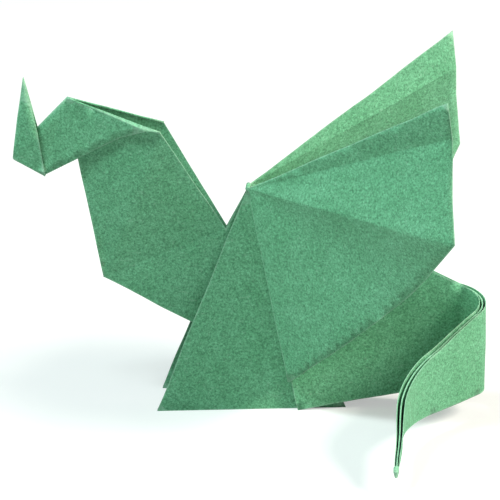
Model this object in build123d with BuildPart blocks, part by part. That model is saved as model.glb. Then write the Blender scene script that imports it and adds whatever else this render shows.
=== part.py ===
from build123d import *
from math import radians, sin
import os

# An origami dragon, folded from one square sheet.
# +X runs towards the tail and Z is up. The snout is at -X, and Y = 0 is the plane of symmetry.
# Places are measured from the point on the floor that is straight below the shoulder.
# The finished sheet is then moved so that the origin is under the middle of its length and width.
# Lengths are in millimetres and angles in degrees.

# Paper, and how far apart the middles of two layers that lie together are
paper = 0.15
layer_pitch = 0.22

# How far off a hub the folds that meet there begin, and how far a flat panel may be out of true
hub_gap = 0.2
flatness = 1e-6

# Shoulder, the corner where the neck, legs, wings and tail meet
shoulder_height = 50.2
shoulder_roll = 0.5

# Layers at the shoulder, counted outwards from the plane of symmetry
neck_layer = 1
lining_layer = 2
leg_layer = 3
wing_inner_layer = 4
tail_layer = 5
wing_outer_layer = 6

# Neck, folded in front and open behind
chest_reach = 32.1
chest_height = 28.6
nape_reach = 18.9
nape_height = 63.5
nape_opening = 4.0
back_reach = 4.7
back_height = 40.9
back_opening = 1.2
belly_reach = 3.5
belly_height = 14.2
belly_opening = 0.6

# Head, turned over outside the neck
crown_reach = 39.9
crown_height = 70.0
cheek_fold_share = 0.27
cheek_reach = 27.9
cheek_height = 62.0
cheek_opening = 3.0
curl_reach = 21.8
curl_height = 64.1
curl_opening = 5.0
jaw_reach = 45.4
jaw_height = 52.0
face_reach = 47.6
face_height = 62.0

# Horn, the point of the sheet turned upwards in front of the face, measured from the jaw
horn_tip_out = 4.2
horn_tip_rise = 22.3
horn_base_out = 6.8
horn_base_rise = 3.5
horn_back_out = 0.9
horn_back_rise = 10.2
horn_back_spread = 1.2
horn_root_in = 0.5
horn_root_drop = 0.1
horn_root_spread = 0.45
horn_roll_in = 0.1
horn_roll_rise = 1.0
horn_roll_radius = 0.3

# Legs
foot_front = 19.8
foot_back = 22.0
foot_front_spread = 8.1
foot_back_spread = 3.0
lining_gap = 1.0

# Wings, a fan of pleats that starts at the shoulder
wing_reach = 44.5
wing_rake = 1.9
tip_height = 78.8
tip_spread = 29.5
upper_pleat_height = 70.5
upper_pleat_spread = 28.0
middle_pleat_height = 63.8
middle_pleat_spread = 30.0
lower_pleat_height = 49.7
lower_pleat_spread = 38.0
wing_foot_reach = 9.3
wing_foot_spread = 5.1
wing_foot_height = 6.6
wing_foot_roll = 0.4
wing_tuck = 7.0
wing_tuck_turn = 1.7
wing_tuck_rise = 3.5
hem_bulge = 1.5
hem_steps = 6

# Tail, folded along its bottom edge, held off the floor and curled round towards -Y
tail_start = 11.6
tail_start_spread = 5.7
tail_heading = 1.6
tail_run = 35.6
tail_bend_height = 28.3
tail_bend_radius = 5.2
tail_bend_turn = 129.7
tail_bend_steps = 9
tail_return_run = 16.1
tail_swing_radius = 28.7
tail_swing_turn = 37.3
tail_swing_steps = 4
tail_end_run = 16.8
tail_end_height = 2.5
tail_lift = 5.2
tail_fold_width = 0.9
tail_opening = 1.0
tail_bulge = 0.9
tail_core = 0.3
tail_core_drop = 0.3
tail_point_run = 3.0
tail_point_lift = 1.4
tail_point_height = 1.2
tail_point_width = 1.0


def panel(corners):
    """A flat face whose outer side is the one that its corners run anticlockwise round."""
    face = Face(Wire.make_polygon(corners))
    normal = (corners[1] - corners[0]).cross(corners[2] - corners[0])
    return face if face.normal_at().dot(normal) > 0 else -face


def panels(corners):
    """The flat faces that fill a loop of four corners: one, or two where the loop is twisted."""
    first, second, third, fourth = corners
    normal = (second - first).cross(third - first).normalized()
    if abs((fourth - first).dot(normal)) < flatness:
        return [panel(corners)]
    return [panel((first, second, third)), panel((first, third, fourth))]


def strip(lines):
    """Paper that bends sharply along each line of a list, apart from the first and the last."""
    normals = []
    for (start, end), (next_start, next_end) in zip(lines, lines[1:]):
        along = (end - start) + (next_end - next_start)
        across = (next_start - start) + (next_end - end)
        normals.append(along.cross(across).normalized())
    loops = []
    for number, (start, end) in enumerate(lines):
        before = normals[max(number - 1, 0)]
        after = normals[min(number, len(normals) - 1)]
        mitre = (before + after) / (1 + before.dot(after)) * (paper / 2)
        loops.append((start - mitre, end - mitre, end + mitre, start + mitre))
    faces = panels(loops[0]) + panels(loops[-1][::-1])
    for loop, following in zip(loops, loops[1:]):
        faces += panels((loop[1], loop[0], following[0], following[1]))
        faces += panels((loop[1], following[1], following[2], loop[2]))
        faces += panels((loop[2], following[2], following[3], loop[3]))
        faces += panels((loop[3], following[3], following[0], loop[0]))
    add(Solid(Shell(faces)))


def ray(hub, corner):
    """The line to a corner from a hub, begun just off the hub, inside the roll of paper there."""
    return hub + (corner - hub).normalized() * hub_gap, corner


def fold(start, end, radius=layer_pitch):
    """Paper rolled over along a line."""
    with BuildSketch(Plane(start, z_dir=end - start)) as section:
        Circle(radius)
    extrude(section.sketch, amount=(end - start).length)


def shoulder(layer):
    """The shoulder as a given layer has it, counted outwards from the middle."""
    return Vector(0, layer * layer_pitch, shoulder_height)


def neck_side(side):
    """One layer of the neck, from its front fold to its open back edge."""
    inner = side * layer_pitch / 2
    chest = Vector(-chest_reach, inner, chest_height)
    crown = Vector(-crown_reach, inner, crown_height)
    nape = Vector(-nape_reach, side * nape_opening, nape_height)
    back = Vector(-back_reach, side * back_opening, back_height)
    belly = Vector(-belly_reach, side * belly_opening, belly_height)
    strip([(crown, nape), (chest, back), (belly, shoulder(side * neck_layer))])


def head_side(side):
    """The rays of one half of the head, from the top of the neck to the front fold."""
    inner = side * layer_pitch / 2
    crown = Vector(-crown_reach, inner + side * layer_pitch, crown_height)
    nape = Vector(-nape_reach, side * (nape_opening + layer_pitch), nape_height)
    curl = Vector(-curl_reach, side * curl_opening, curl_height)
    cheek = Vector(-cheek_reach, side * cheek_opening, cheek_height)
    jaw = Vector(-jaw_reach, inner, jaw_height)
    face = Vector(-face_reach, inner, face_height)
    turn = Vector(0, side * layer_pitch / 2, 0)
    fold(crown - turn, nape - turn)
    hub = crown + (nape - crown) * cheek_fold_share
    return [ray(hub, corner) for corner in (nape, curl, cheek, jaw)] + [(crown, face)]


def head():
    """The head, turned over at the top of the neck and wrapped round its front."""
    strip(head_side(-1) + head_side(1)[::-1])


def horn_side(side):
    """The rays of one layer of the horn, from its open edge to its front fold."""
    inner = side * layer_pitch / 2
    jaw = Vector(-jaw_reach, 0, jaw_height)
    tip = jaw + Vector(-horn_tip_out, inner, horn_tip_rise)
    base = jaw + Vector(-horn_base_out, inner, horn_base_rise)
    back = jaw + Vector(-horn_back_out, side * horn_back_spread, horn_back_rise)
    root = jaw + Vector(horn_root_in, side * horn_root_spread, -horn_root_drop)
    return [ray(base, corner) for corner in (root, back, tip)]


def horn():
    """The horn, folded along its front edge, laid over the face and joined to it by one roll."""
    strip(horn_side(-1) + horn_side(1)[::-1])
    middle = Vector(horn_roll_in - jaw_reach, 0, jaw_height + horn_roll_rise)
    across = Vector(0, horn_root_spread + layer_pitch, 0)
    fold(middle - across, middle + across, horn_roll_radius)


def leg(side):
    """A leg of two layers, folded along its back edge and open in front."""
    front = Vector(-foot_front, side * foot_front_spread, -paper)
    back = Vector(foot_back, side * foot_back_spread, -paper)
    lining = Vector(-foot_front, side * (foot_front_spread - lining_gap), -paper)
    inwards = Vector(0, -side * layer_pitch, 0)
    outer_hub, inner_hub = shoulder(side * leg_layer), shoulder(side * lining_layer)
    strip([ray(outer_hub, front), ray(outer_hub, back)])
    strip([ray(inner_hub, lining), ray(inner_hub, back + inwards)])
    fold((outer_hub + inner_hub) / 2, back + inwards / 2)


def wing(side):
    """A fan of pleats, rolled round the front fold of the tail at its foot."""
    nose = Vector(wing_foot_reach, side * wing_foot_spread, wing_foot_height)
    roll = Vector(wing_foot_roll, side * wing_foot_roll, 0)
    start = nose + roll
    under = nose + Vector(roll.X, -roll.Y, 0)
    tuck = under + Vector(wing_tuck, -side * wing_tuck_turn, wing_tuck_rise)
    lower = Vector(wing_reach + wing_rake, side * lower_pleat_spread, lower_pleat_height)
    middle = Vector(wing_reach + wing_rake / 2, side * middle_pleat_spread, middle_pleat_height)
    upper = Vector(wing_reach + wing_rake / 2, side * upper_pleat_spread, upper_pleat_height)
    tip = Vector(wing_reach, side * tip_spread, tip_height)
    hem = []
    for step in range(1, hem_steps):
        share = step / hem_steps
        bulge = hem_bulge * sin(radians(180 * share))
        hem.append(start + (lower - start) * share + Vector(0, side * bulge, -bulge))
    inner_hub, outer_hub = shoulder(side * wing_inner_layer), shoulder(side * wing_outer_layer)
    rolled = [ray(inner_hub, tuck), ray(inner_hub, under), ray((inner_hub + outer_hub) / 2, nose)]
    spread = [ray(outer_hub, corner) for corner in (start, *hem, lower, middle, upper, tip)]
    strip(rolled + spread)


def trough(plane, bottom, top, floor_width, opening):
    """The tail's section: two outer layers and the core between them, on the fold below."""
    wall, core = paper / 2, tail_core / 2
    foot, lip = floor_width / 2, opening / 2
    outline = [
        (-lip - wall, top),
        (-foot - wall, bottom),
        (foot + wall, bottom),
        (lip + wall, top),
        (lip - wall, top),
        (foot - wall, bottom + paper),
        (core, bottom + paper),
        (core, top - tail_core_drop),
        (-core, top - tail_core_drop),
        (-core, bottom + paper),
        (-foot + wall, bottom + paper),
        (-lip + wall, top),
    ]
    with BuildSketch(plane) as section:
        with BuildLine():
            Polyline(outline, close=True)
        make_face()
    return section.sketch


def across_tail(spot, heading):
    """The upright plane across the tail at a place."""
    ahead = Vector(1, 0, 0).rotate(Axis.Z, heading)
    return Plane(spot, x_dir=ahead.rotate(Axis.Z, 90), z_dir=ahead)


def tail_section(spot, heading, share):
    """The tail's section at a place, at its share of the way from the bend to the end."""
    top = tail_bend_height + (tail_lift + tail_end_height - tail_bend_height) * share
    opening = tail_opening + tail_bulge * sin(radians(180 * share))
    return trough(across_tail(spot, heading), tail_lift, top, tail_fold_width, opening)


def tail_point(spot, heading):
    """The tip, where the core alone runs on beyond the outer layers, droops and is rounded off."""
    ahead = Vector(1, 0, 0).rotate(Axis.Z, heading)
    sections = []
    for share, width in ((-0.5, tail_core), (0.5, tail_point_width), (1, tail_point_width / 2)):
        fall = max(share, 0)
        low = tail_lift + paper / 2 + (tail_point_lift - tail_lift) * fall
        height = tail_end_height / 2 + (tail_point_height - tail_end_height / 2) * fall
        with BuildSketch(across_tail(spot + ahead * tail_point_run * share, heading)) as section:
            with Locations((0, low + height / 2)):
                Rectangle(width, height)
        sections.append(section.sketch)
    loft(sections, ruled=True)


def tail():
    """Three layers on a closed fold, which rise off the floor and curl round to the tip."""
    start = Vector(tail_start, 0, 0)
    upwards = Vector(0, 0, shoulder_height) - start
    leaning = Plane(start, x_dir=Vector(0, 1, 0), z_dir=Vector(0, 1, 0).cross(upwards))
    root = trough(leaning, 0, upwards.length, 2 * tail_start_spread, 2 * tail_layer * layer_pitch)
    stretches = [
        (tail_bend_radius * radians(tail_bend_turn), -tail_bend_turn, tail_bend_steps),
        (tail_return_run, 0, 1),
        (tail_swing_radius * radians(tail_swing_turn), tail_swing_turn, tail_swing_steps),
        (tail_end_run, 0, 1),
    ]
    whole = sum(run for run, turn, steps in stretches)
    heading, travelled = tail_heading, 0
    spot = start + Vector(tail_run, 0, 0).rotate(Axis.Z, heading)
    section = tail_section(spot, heading, 0)
    loft([root, section], ruled=True)
    for run, turn, steps in stretches:
        sections = [section]
        half_turn = radians(turn / steps / 2)
        chord = run / steps * (sin(half_turn) / half_turn if turn else 1)
        for _ in range(steps):
            spot += Vector(chord, 0, 0).rotate(Axis.Z, heading + turn / steps / 2)
            heading += turn / steps
            travelled += run / steps
            section = tail_section(spot, heading, travelled / whole)
            sections.append(section)
        loft(sections, ruled=steps == 1)
    tail_point(spot, heading)


with BuildPart() as folded_sheet:
    last_layer = wing_outer_layer + 1
    fold(shoulder(-last_layer), shoulder(last_layer), shoulder_roll)
    fold(Vector(-chest_reach, 0, chest_height), Vector(-crown_reach, 0, crown_height))
    for side in (-1, 1):
        neck_side(side)
        leg(side)
        wing(side)
    head()
    horn()
    tail()
    split(bisect_by=Plane.XY, keep=Keep.TOP)

box = folded_sheet.part.bounding_box()
folded_sheet.part.position -= Vector(box.center().X, box.center().Y, 0)
folded_sheet.part.label = "folded_sheet"
os.makedirs("parts", exist_ok=True)
export_step(folded_sheet.part, "parts/folded_sheet.step")
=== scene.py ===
import bpy
import bmesh
import math
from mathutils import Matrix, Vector, noise
from mathutils.kdtree import KDTree


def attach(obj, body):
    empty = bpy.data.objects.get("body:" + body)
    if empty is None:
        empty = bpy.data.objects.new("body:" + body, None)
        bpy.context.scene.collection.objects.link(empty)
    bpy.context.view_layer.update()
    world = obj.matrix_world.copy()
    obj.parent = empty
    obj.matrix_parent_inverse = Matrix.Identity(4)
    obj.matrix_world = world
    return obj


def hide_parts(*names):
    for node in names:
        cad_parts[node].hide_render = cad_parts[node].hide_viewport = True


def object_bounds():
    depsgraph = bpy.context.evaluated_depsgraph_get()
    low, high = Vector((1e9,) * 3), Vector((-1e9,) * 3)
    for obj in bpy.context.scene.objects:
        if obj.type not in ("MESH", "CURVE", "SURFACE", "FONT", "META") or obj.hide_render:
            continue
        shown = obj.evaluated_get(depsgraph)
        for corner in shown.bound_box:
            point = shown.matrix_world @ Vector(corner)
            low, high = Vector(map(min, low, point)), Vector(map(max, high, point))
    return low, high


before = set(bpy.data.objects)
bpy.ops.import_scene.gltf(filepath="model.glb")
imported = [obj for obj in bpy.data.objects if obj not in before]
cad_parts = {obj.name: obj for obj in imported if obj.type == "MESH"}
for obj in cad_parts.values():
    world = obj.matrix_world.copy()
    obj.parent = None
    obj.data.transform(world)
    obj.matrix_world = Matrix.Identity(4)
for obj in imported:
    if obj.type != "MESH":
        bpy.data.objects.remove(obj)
cad_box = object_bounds()

# An origami dragon of mottled green paper on a pale floor. Lengths are in metres.
MILLIMETRE = 0.001

# How the sheet's mesh is cleaned, cut into small faces and shaded
MERGE_REACH = 0.002 * MILLIMETRE
SAME_PANEL_ANGLE = math.radians(0.4)
LONGEST_EDGE = 3.0 * MILLIMETRE
CUTTING_ROUNDS = 7
SHADED_EDGE_ANGLE = math.radians(40)

# What counts as an edge of the paper or a sharp fold, and how closely points are set along it
SHARP_EDGE_ANGLE = math.radians(50)
EDGE_POINT_STEP = 0.25 * MILLIMETRE

# How hand-folded paper strays from flat: the size of each wave, how far it moves the paper, and
# where in the noise it is taken from
WAVES = (
    (13.0 * MILLIMETRE, 0.26 * MILLIMETRE, 3.0),
    (4.5 * MILLIMETRE, 0.05 * MILLIMETRE, 11.0),
)
WAVE_SEED = 5
FLAT_NEAR_FLOOR = 2.0 * MILLIMETRE

# Shallow folds between large panels, which were opened again and are soft away from sharp edges
SOFT_ANGLE = math.radians(3)
SOFT_PANEL = 200.0 * MILLIMETRE ** 2
SOFT_REACH = 2.2 * MILLIMETRE
STIFF_REACH = 0.9 * MILLIMETRE
SOFT_ROUNDS = 5
SOFT_STEP = 0.5

# The shoulder on the plane of symmetry, and the corners of a wing's lower panel seen from it:
# along the model, away from the plane of symmetry, and down
SHOULDER = Vector((-0.52, 9.57, 50.2)) * MILLIMETRE
WING_LOWER = Vector((46.4, 38.0, 0.5)) * MILLIMETRE
WING_FOOT = Vector((9.7, 5.5, 43.6)) * MILLIMETRE

# How deep the panel is hollowed, how much that leans to its upper fold, how thick a layer it
# takes in, and how far past the hem it goes on, with the hem at 1
HOLLOW_DEPTH = 4.2 * MILLIMETRE
HOLLOW_LEAN = 1.7
HOLLOW_BAND = 2.2 * MILLIMETRE
HOLLOW_END = 1.1

# The tip of the tail: where it begins, how long it is, and how it is raised and filled out
TAIL_END = Vector((34.63, -44.64, 0)) * MILLIMETRE
TAIL_TIP_RUN = 3.0 * MILLIMETRE
TAIL_TIP_RISE = 2.6 * MILLIMETRE
TAIL_TIP_SWELL = 0.25
TAIL_TIP_ROUNDING = 0.8

# Colours of the paper: its green, the tints that mottle it, its fibres, and its sharp edges, which
# are painted pale, partly as rubbed paper and partly as painted highlight
GREENS = ((0.104, 0.352, 0.186), (0.13, 0.4, 0.224))
BLOTCH_TINTS = ((0.85, 0.88, 0.86), (1.13, 1.1, 1.12))
GRAIN_TINTS = ((0.46, 0.55, 0.5), (1.5, 1.4, 1.46))
PALE_FIBRE = (0.26, 0.52, 0.36, 1)
DARK_FIBRE = (0.05, 0.2, 0.1, 1)
RUBBED_AND_HIGHLIT_EDGE = (0.34, 0.6, 0.44, 1)

# How strongly the fibres and the pale sharp edges show, which are partly rubbed paper and partly
# painted highlight
PALE_FIBRE_SHARE = 0.5
DARK_FIBRE_SHARE = 0.6
RUBBED_AND_HIGHLIT_EDGE_SHARE = 0.6

# Distances from a sharp edge, in millimetres, up to which it is painted pale fully and at all, as
# rubbed paper and painted highlight
RUBBED_AND_HIGHLIT_REACH = (0.05, 0.32)

# Relief and shine of the paper
FINE_RELIEF_SHARE = 0.6
RELIEF_DEPTH = 0.06 * MILLIMETRE
ROUGHNESS = (0.56, 0.7)

# Floor and surround
FLOOR_HALF = 3.0
FLOOR_COLOUR = (0.5, 0.52, 0.52, 1)
FLOOR_LIFT = 0.43
SURROUND = 0.08
COOL = (0.8, 1.0, 1.0, 1)
WHITE = (1, 1, 1, 1)

# Lamps: the name, place, side, power in watts and colour of each
LAMPS = (
    ("right_lamp", (0.8, -0.08, 0.61), 0.3, 15.0, (1.0, 0.88, 0.78)),
    ("high_lamp", (-0.43, -0.26, 0.9), 0.25, 8.6, (0.88, 1.0, 0.98)),
    ("front_lamp", (0.1, -0.8, 0.45), 0.4, 0.9, (0.95, 1.0, 0.9)),
    ("left_lamp", (-0.82, 0.01, 0.61), 0.4, 1.6, (0.7, 0.95, 1.0)),
)

# Camera
EYE = Vector((56.85, -928.37, 342.02)) * MILLIMETRE
TARGET = Vector((0.01, 9.57, 35.54)) * MILLIMETRE
SENSOR_WIDTH = 36.0
LENS = 320.4
NEAREST_SEEN = 0.05
FARTHEST_SEEN = 20.0

# Numbers of a mix node's inputs, and of its output for colours
MIX_SHARE = 0
MIX_FIRST = 6
MIX_SECOND = 7
MIX_COLOUR = 2


def edge_points(mesh, least_angle, most_angle=math.pi, least_panel=0.0):
    """Points along the edges that bend a mesh by angles in a range, between large faces."""
    points = []
    for edge in mesh.edges:
        if not least_angle <= edge.calc_face_angle(math.pi) <= most_angle:
            continue
        if min(face.calc_area() for face in edge.link_faces) < least_panel:
            continue
        start, end = (corner.co for corner in edge.verts)
        steps = max(1, int((end - start).length / EDGE_POINT_STEP))
        points += [start.lerp(end, step / steps) for step in range(steps + 1)]
    return points


def tree_of(points):
    """A search tree that finds the nearest of some points."""
    tree = KDTree(len(points))
    for number, point in enumerate(points):
        tree.insert(point, number)
    tree.balance()
    return tree


def distance_from(tree, corner):
    """How far a corner of a mesh is from the nearest point of a search tree."""
    return tree.find(corner.co)[2]


def cut_up(mesh):
    """Halves every edge that is too long to bend with the paper, a round at a time."""
    for _ in range(CUTTING_ROUNDS):
        long_edges = [edge for edge in mesh.edges if edge.calc_length() > LONGEST_EDGE]
        if not long_edges:
            break
        bmesh.ops.subdivide_edges(mesh, edges=long_edges, cuts=1, use_grid_fill=False)
        crowded = [face for face in mesh.faces if len(face.verts) > 3]
        bmesh.ops.triangulate(
            mesh, faces=crowded, quad_method="SHORT_EDGE", ngon_method="BEAUTY"
        )


def soften(mesh, shallow_folds, sharp_edges):
    """Rounds off the shallow folds between large panels, away from the sharp edges."""
    loose = []
    for corner in mesh.verts:
        if distance_from(shallow_folds, corner) >= SOFT_REACH:
            continue
        if distance_from(sharp_edges, corner) > STIFF_REACH:
            loose.append(corner)
    for _ in range(SOFT_ROUNDS):
        bmesh.ops.smooth_vert(
            mesh,
            verts=loose,
            factor=SOFT_STEP,
            use_axis_x=True,
            use_axis_y=True,
            use_axis_z=True,
        )


def fine_mesh(source):
    """The folded sheet in small faces. Each corner keeps its distance from a sharp edge."""
    mesh = bmesh.new()
    mesh.from_mesh(source.data)
    bmesh.ops.remove_doubles(mesh, verts=mesh.verts, dist=MERGE_REACH)
    bmesh.ops.dissolve_limit(
        mesh, angle_limit=SAME_PANEL_ANGLE, verts=mesh.verts, edges=mesh.edges
    )
    sharp_edges = tree_of(edge_points(mesh, SHARP_EDGE_ANGLE))
    shallow_folds = tree_of(edge_points(mesh, SOFT_ANGLE, SHARP_EDGE_ANGLE, SOFT_PANEL))
    bmesh.ops.triangulate(mesh, faces=mesh.faces)
    cut_up(mesh)
    soften(mesh, shallow_folds, sharp_edges)
    edge_distance = mesh.verts.layers.float.new("edge_distance")
    for corner in mesh.verts:
        corner[edge_distance] = distance_from(sharp_edges, corner) / MILLIMETRE
    return mesh


def hollow(place):
    """How a wing's lower panel sinks inwards between its two folds, more so towards its hem."""
    side = -1 if place.y < SHOULDER.y else 1
    seen = Vector((place.x - SHOULDER.x, side * (place.y - SHOULDER.y), SHOULDER.z - place.z))
    outwards = WING_FOOT.cross(WING_LOWER).normalized()
    if seen.x <= 0 or abs(seen.dot(outwards)) > HOLLOW_BAND:
        return Vector((0, 0, 0))
    first = math.atan2(WING_LOWER.z, WING_LOWER.x)
    last = math.atan2(WING_FOOT.z, WING_FOOT.x)
    share = (math.atan2(seen.z, seen.x) - first) / (last - first)
    hem = WING_FOOT - WING_LOWER
    whole = WING_LOWER.x * hem.z - WING_LOWER.z * hem.x
    reach = (seen.x * hem.z - seen.z * hem.x) / whole
    if not 0 < share < 1 or reach > HOLLOW_END:
        return Vector((0, 0, 0))
    depth = HOLLOW_DEPTH * reach * HOLLOW_LEAN * math.sin(math.pi * share) * (1 - share)
    return Vector((-outwards.x, side * -outwards.y, outwards.z)) * depth


def rounded_tip(place):
    """How the tip of the tail stands off the floor and is rounded and fuller than a bare edge."""
    share = (TAIL_END.y - place.y) / TAIL_TIP_RUN
    if share <= 0 or abs(place.x - TAIL_END.x) > TAIL_TIP_RUN:
        return Vector((0, 0, 0))
    swell = TAIL_TIP_SWELL * math.sin(math.pi * min(1.0, share) * TAIL_TIP_ROUNDING)
    return Vector(((place.x - TAIL_END.x) * swell, 0, TAIL_TIP_RISE * share))


def stray(place):
    """How far the paper strays from flat at a place. Layers that lie together stray together."""
    moved = Vector((0, 0, 0))
    for size, reach, start in WAVES:
        moved += noise.noise_vector(place / size + Vector((start, start, start))) * reach
    return moved


def bend(mesh):
    """Moves the paper from the flat panels to its real form, but nowhere out of the solid's box."""
    low, high = cad_box
    noise.seed_set(WAVE_SEED)
    for corner in mesh.verts:
        held = min(1.0, max(0.0, corner.co.z / FLAT_NEAR_FLOOR))
        place = corner.co + hollow(corner.co) + rounded_tip(corner.co) + stray(corner.co) * held
        for axis in range(3):
            place[axis] = min(high[axis], max(low[axis], place[axis]))
        corner.co = place


def in_scene(name, data):
    """A new object, in the scene."""
    made = bpy.data.objects.new(name, data)
    bpy.context.scene.collection.objects.link(made)
    return made


def facing_model(name, data, place):
    """A new object, in the scene at a place, that faces the middle of the model."""
    made = in_scene(name, data)
    made.location = place
    made.rotation_mode = "QUATERNION"
    made.rotation_quaternion = (TARGET - Vector(place)).to_track_quat("-Z", "Y")
    return made


def folded_paper(source):
    """The sheet as the photograph shows it, from its plain solid."""
    mesh = fine_mesh(source)
    bend(mesh)
    data = bpy.data.meshes.new("mottled_paper")
    mesh.to_mesh(data)
    mesh.free()
    data.shade_smooth()
    data.set_sharp_from_angle(angle=SHADED_EDGE_ANGLE)
    return in_scene("mottled_paper", data)


class Nodes:
    """The node tree of a material or world, with one short call for each node and its inputs."""

    def __init__(self, owner):
        self.owner = owner
        self.owner.use_nodes = True
        self.tree = self.owner.node_tree
        self.tree.nodes.clear()

    def add(self, kind, inputs=None, **settings):
        """A new node. Each input gets a link if its value is another node's output."""
        node = self.tree.nodes.new(kind)
        for name, value in settings.items():
            setattr(node, name, value)
        for slot, value in (inputs or {}).items():
            if isinstance(value, bpy.types.NodeSocket):
                self.tree.links.new(value, node.inputs[slot])
            else:
                node.inputs[slot].default_value = value
        return node

    def ramp(self, source, ends, colours):
        """The first colour up to the first end, the second from the second, and between a blend."""
        node = self.add("ShaderNodeValToRGB", {"Fac": source})
        for stop, position, colour in zip(node.color_ramp.elements, ends, colours):
            stop.position = position
            stop.color = (*colour, 1)
        return node.outputs["Color"]

    def grey_ramp(self, source, ends, levels):
        """The same with a level of grey for each colour."""
        return self.ramp(source, ends, [(level, level, level) for level in levels])

    def mix(self, first, second, share, blend="MIX"):
        """Two colours put together."""
        inputs = {MIX_SHARE: share, MIX_FIRST: first, MIX_SECOND: second}
        node = self.add("ShaderNodeMix", inputs, data_type="RGBA", blend_type=blend)
        return node.outputs[MIX_COLOUR]

    def math(self, operation, first, second):
        """Two numbers put together."""
        return self.add("ShaderNodeMath", {0: first, 1: second}, operation=operation).outputs[0]


def paper_material():
    """Craft paper dyed green: mottled pulp with pale and dark fibres, and its sharp edges painted
    pale, partly as rubbed paper and partly as painted highlight.
    """
    n = Nodes(bpy.data.materials.new("green_craft_paper"))
    place = n.add("ShaderNodeTexCoord").outputs["Object"]

    def cloud(size, detail, roughness=0.55, distortion=0.0, vector=place):
        """Noise with its size in millimetres."""
        inputs = {
            "Vector": vector,
            "Scale": 1 / (size * MILLIMETRE),
            "Detail": detail,
            "Roughness": roughness,
            "Distortion": distortion,
        }
        return n.add("ShaderNodeTexNoise", inputs).outputs["Fac"]

    def fibres(size, turn, stretch):
        """Short bent streaks, turned by angles in radians."""
        turned = n.add(
            "ShaderNodeMapping",
            {"Vector": place, "Rotation": turn, "Scale": stretch},
        )
        return cloud(size, 2.0, 0.5, 1.4, turned.outputs["Vector"])

    broad = n.ramp(cloud(9.0, 2.0), (0.3, 0.7), GREENS)
    blotches = n.ramp(cloud(1.5, 4.0, 0.65), (0.32, 0.68), BLOTCH_TINTS)
    colour = n.mix(broad, blotches, 1.0, "MULTIPLY")
    grain = n.ramp(cloud(0.42, 3.0, 0.7, 0.6), (0.34, 0.66), GRAIN_TINTS)
    colour = n.mix(colour, grain, 1.0, "MULTIPLY")

    long_fibres = fibres(0.5, turn=(0.4, 0.9, 0.3), stretch=(1.0, 0.22, 0.6))
    cross_fibres = fibres(0.46, turn=(1.2, 0.2, 1.9), stretch=(0.22, 1.0, 0.6))
    pale = n.math("MAXIMUM", long_fibres, cross_fibres)
    pale = n.grey_ramp(pale, (0.63, 0.76), (0, 1))
    colour = n.mix(colour, PALE_FIBRE, n.math("MULTIPLY", pale, PALE_FIBRE_SHARE))
    dark = n.math("MINIMUM", long_fibres, cross_fibres)
    dark = n.grey_ramp(dark, (0.25, 0.37), (1, 0))
    colour = n.mix(colour, DARK_FIBRE, n.math("MULTIPLY", dark, DARK_FIBRE_SHARE))

    # Sharp edges are painted pale: partly rubbed paper, partly painted highlight where folded edges
    # catch the light.
    distance = n.add("ShaderNodeAttribute", attribute_name="edge_distance").outputs["Fac"]
    rubbed_and_highlit = n.grey_ramp(distance, RUBBED_AND_HIGHLIT_REACH, (1, 0))
    patchy = n.grey_ramp(cloud(1.1, 3.0, 0.6), (0.3, 0.62), (0.25, 1))
    rubbed_and_highlit = n.math("MULTIPLY", rubbed_and_highlit, patchy)
    colour = n.mix(colour, RUBBED_AND_HIGHLIT_EDGE, n.math("MULTIPLY", rubbed_and_highlit, RUBBED_AND_HIGHLIT_EDGE_SHARE))

    fine_relief = n.math("MULTIPLY", cloud(0.3, 4.0, 0.7), FINE_RELIEF_SHARE)
    relief = n.math("ADD", fine_relief, long_fibres)
    bump = n.add(
        "ShaderNodeBump",
        {"Height": relief, "Strength": 0.35, "Distance": RELIEF_DEPTH},
    )
    shader = n.add(
        "ShaderNodeBsdfPrincipled",
        {
            "Base Color": colour,
            "Roughness": n.grey_ramp(cloud(0.8, 2.0), (0.3, 0.7), ROUGHNESS),
            "Specular IOR Level": 0.28,
            "Sheen Weight": 0.08,
            "Sheen Roughness": 0.5,
            "Normal": bump.outputs["Normal"],
        },
    )
    n.add("ShaderNodeOutputMaterial", {"Surface": shader.outputs["BSDF"]})
    return n.owner


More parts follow.
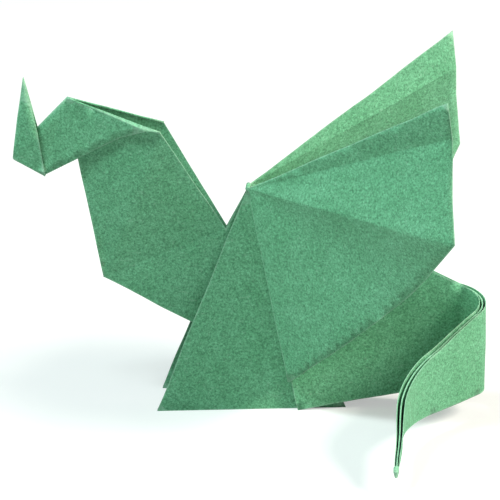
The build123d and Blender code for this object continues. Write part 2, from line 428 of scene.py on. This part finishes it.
def floor_material():
    """Pale matt floor that the camera sees a little lighter, so that soft shadows stay soft."""
    n = Nodes(bpy.data.materials.new("pale_floor"))
    seen = n.add("ShaderNodeLightPath").outputs["Is Camera Ray"]
    matt = n.add("ShaderNodeBsdfDiffuse", {"Color": FLOOR_COLOUR})
    lift = n.math("MULTIPLY", seen, FLOOR_LIFT)
    glow = n.add("ShaderNodeEmission", {"Color": WHITE, "Strength": lift})
    both = n.add("ShaderNodeAddShader", {0: matt.outputs[0], 1: glow.outputs[0]})
    n.add("ShaderNodeOutputMaterial", {"Surface": both.outputs[0]})
    return n.owner


def surround():
    """An even pale world that lights the model softly from all sides and is seen as white."""
    n = Nodes(bpy.data.worlds.new("surround"))
    path = n.add("ShaderNodeLightPath").outputs
    seen = n.math("MAXIMUM", path["Is Camera Ray"], path["Is Glossy Ray"])
    strength = n.add("ShaderNodeMapRange", {"Value": seen, "To Min": SURROUND, "To Max": 1.0})
    back = n.add(
        "ShaderNodeBackground",
        {"Color": n.mix(COOL, WHITE, seen), "Strength": strength.outputs["Result"]},
    )
    n.add("ShaderNodeOutputWorld", {"Surface": back.outputs[0]})
    return n.owner


def soft_lamp(name, place, side, power, colour):
    """A square lamp that faces the middle of the model."""
    data = bpy.data.lights.new(name, "AREA")
    data.color = colour
    data.shape = "SQUARE"
    data.size = side
    data.energy = power
    facing_model(name, data, place)


paper = folded_paper(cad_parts["folded_sheet"])
paper.data.materials.append(paper_material())
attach(paper, "root")
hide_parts("folded_sheet")

floor_mesh = bpy.data.meshes.new("floor")
corners = [(-FLOOR_HALF, -FLOOR_HALF, 0), (FLOOR_HALF, -FLOOR_HALF, 0)]
corners += [(FLOOR_HALF, FLOOR_HALF, 0), (-FLOOR_HALF, FLOOR_HALF, 0)]
floor_mesh.from_pydata(corners, [], [(0, 1, 2, 3)])
floor = in_scene("floor", floor_mesh)
floor.data.materials.append(floor_material())

bpy.context.scene.world = surround()
for lamp in LAMPS:
    soft_lamp(*lamp)

camera_data = bpy.data.cameras.new("camera")
camera_data.sensor_width = SENSOR_WIDTH
camera_data.lens = LENS
camera_data.clip_start = NEAREST_SEEN
camera_data.clip_end = FARTHEST_SEEN
bpy.context.scene.camera = facing_model("camera", camera_data, EYE)
bpy.context.scene.view_settings.view_transform = "Standard"
